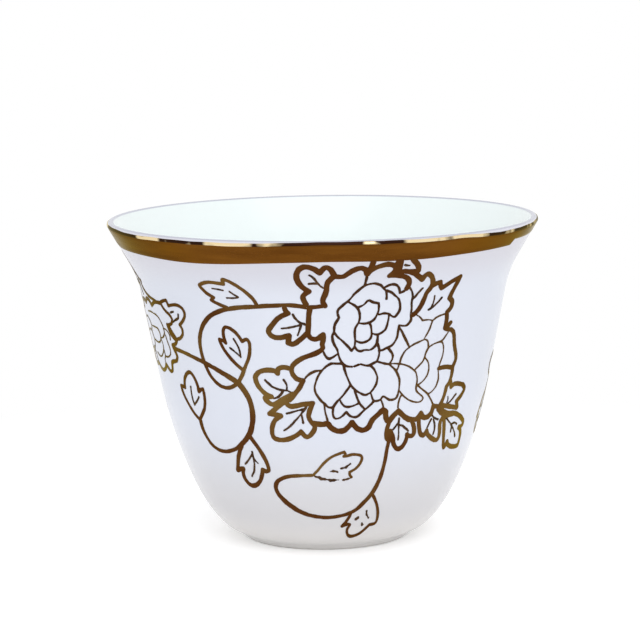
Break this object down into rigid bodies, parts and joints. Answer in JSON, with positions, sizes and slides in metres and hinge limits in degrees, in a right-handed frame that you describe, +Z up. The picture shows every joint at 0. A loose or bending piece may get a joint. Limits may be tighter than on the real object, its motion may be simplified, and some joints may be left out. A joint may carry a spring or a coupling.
{
  "type": "coffee cup",
  "caption": "Small handleless porcelain coffee cup that flares to a gilded rim, with a rounded belly on a low foot ring and gilded flower sprays on its white glaze.",
  "frame": {"origin": "centre of the foot ring's standing face, on the table", "axes": "+Z up along the cup's axis, the flower spray's middle near -Y, which is the front"},
  "size_m": [0.066, 0.066, 0.0494],
  "materials": {
    "bare_porcelain": "matte fired porcelain, bare on the foot ring",
    "white_glaze": "glossy, cool white",
    "gilding": "fired gold, polished, warm brown in shade"
  },
  "bodies": {
    "root": {"porcelain_body": "bare_porcelain", "glaze_coat": "white_glaze", "base_glaze": "white_glaze", "gilt_rim_band": "gilding"}
  },
  "joints": []
}
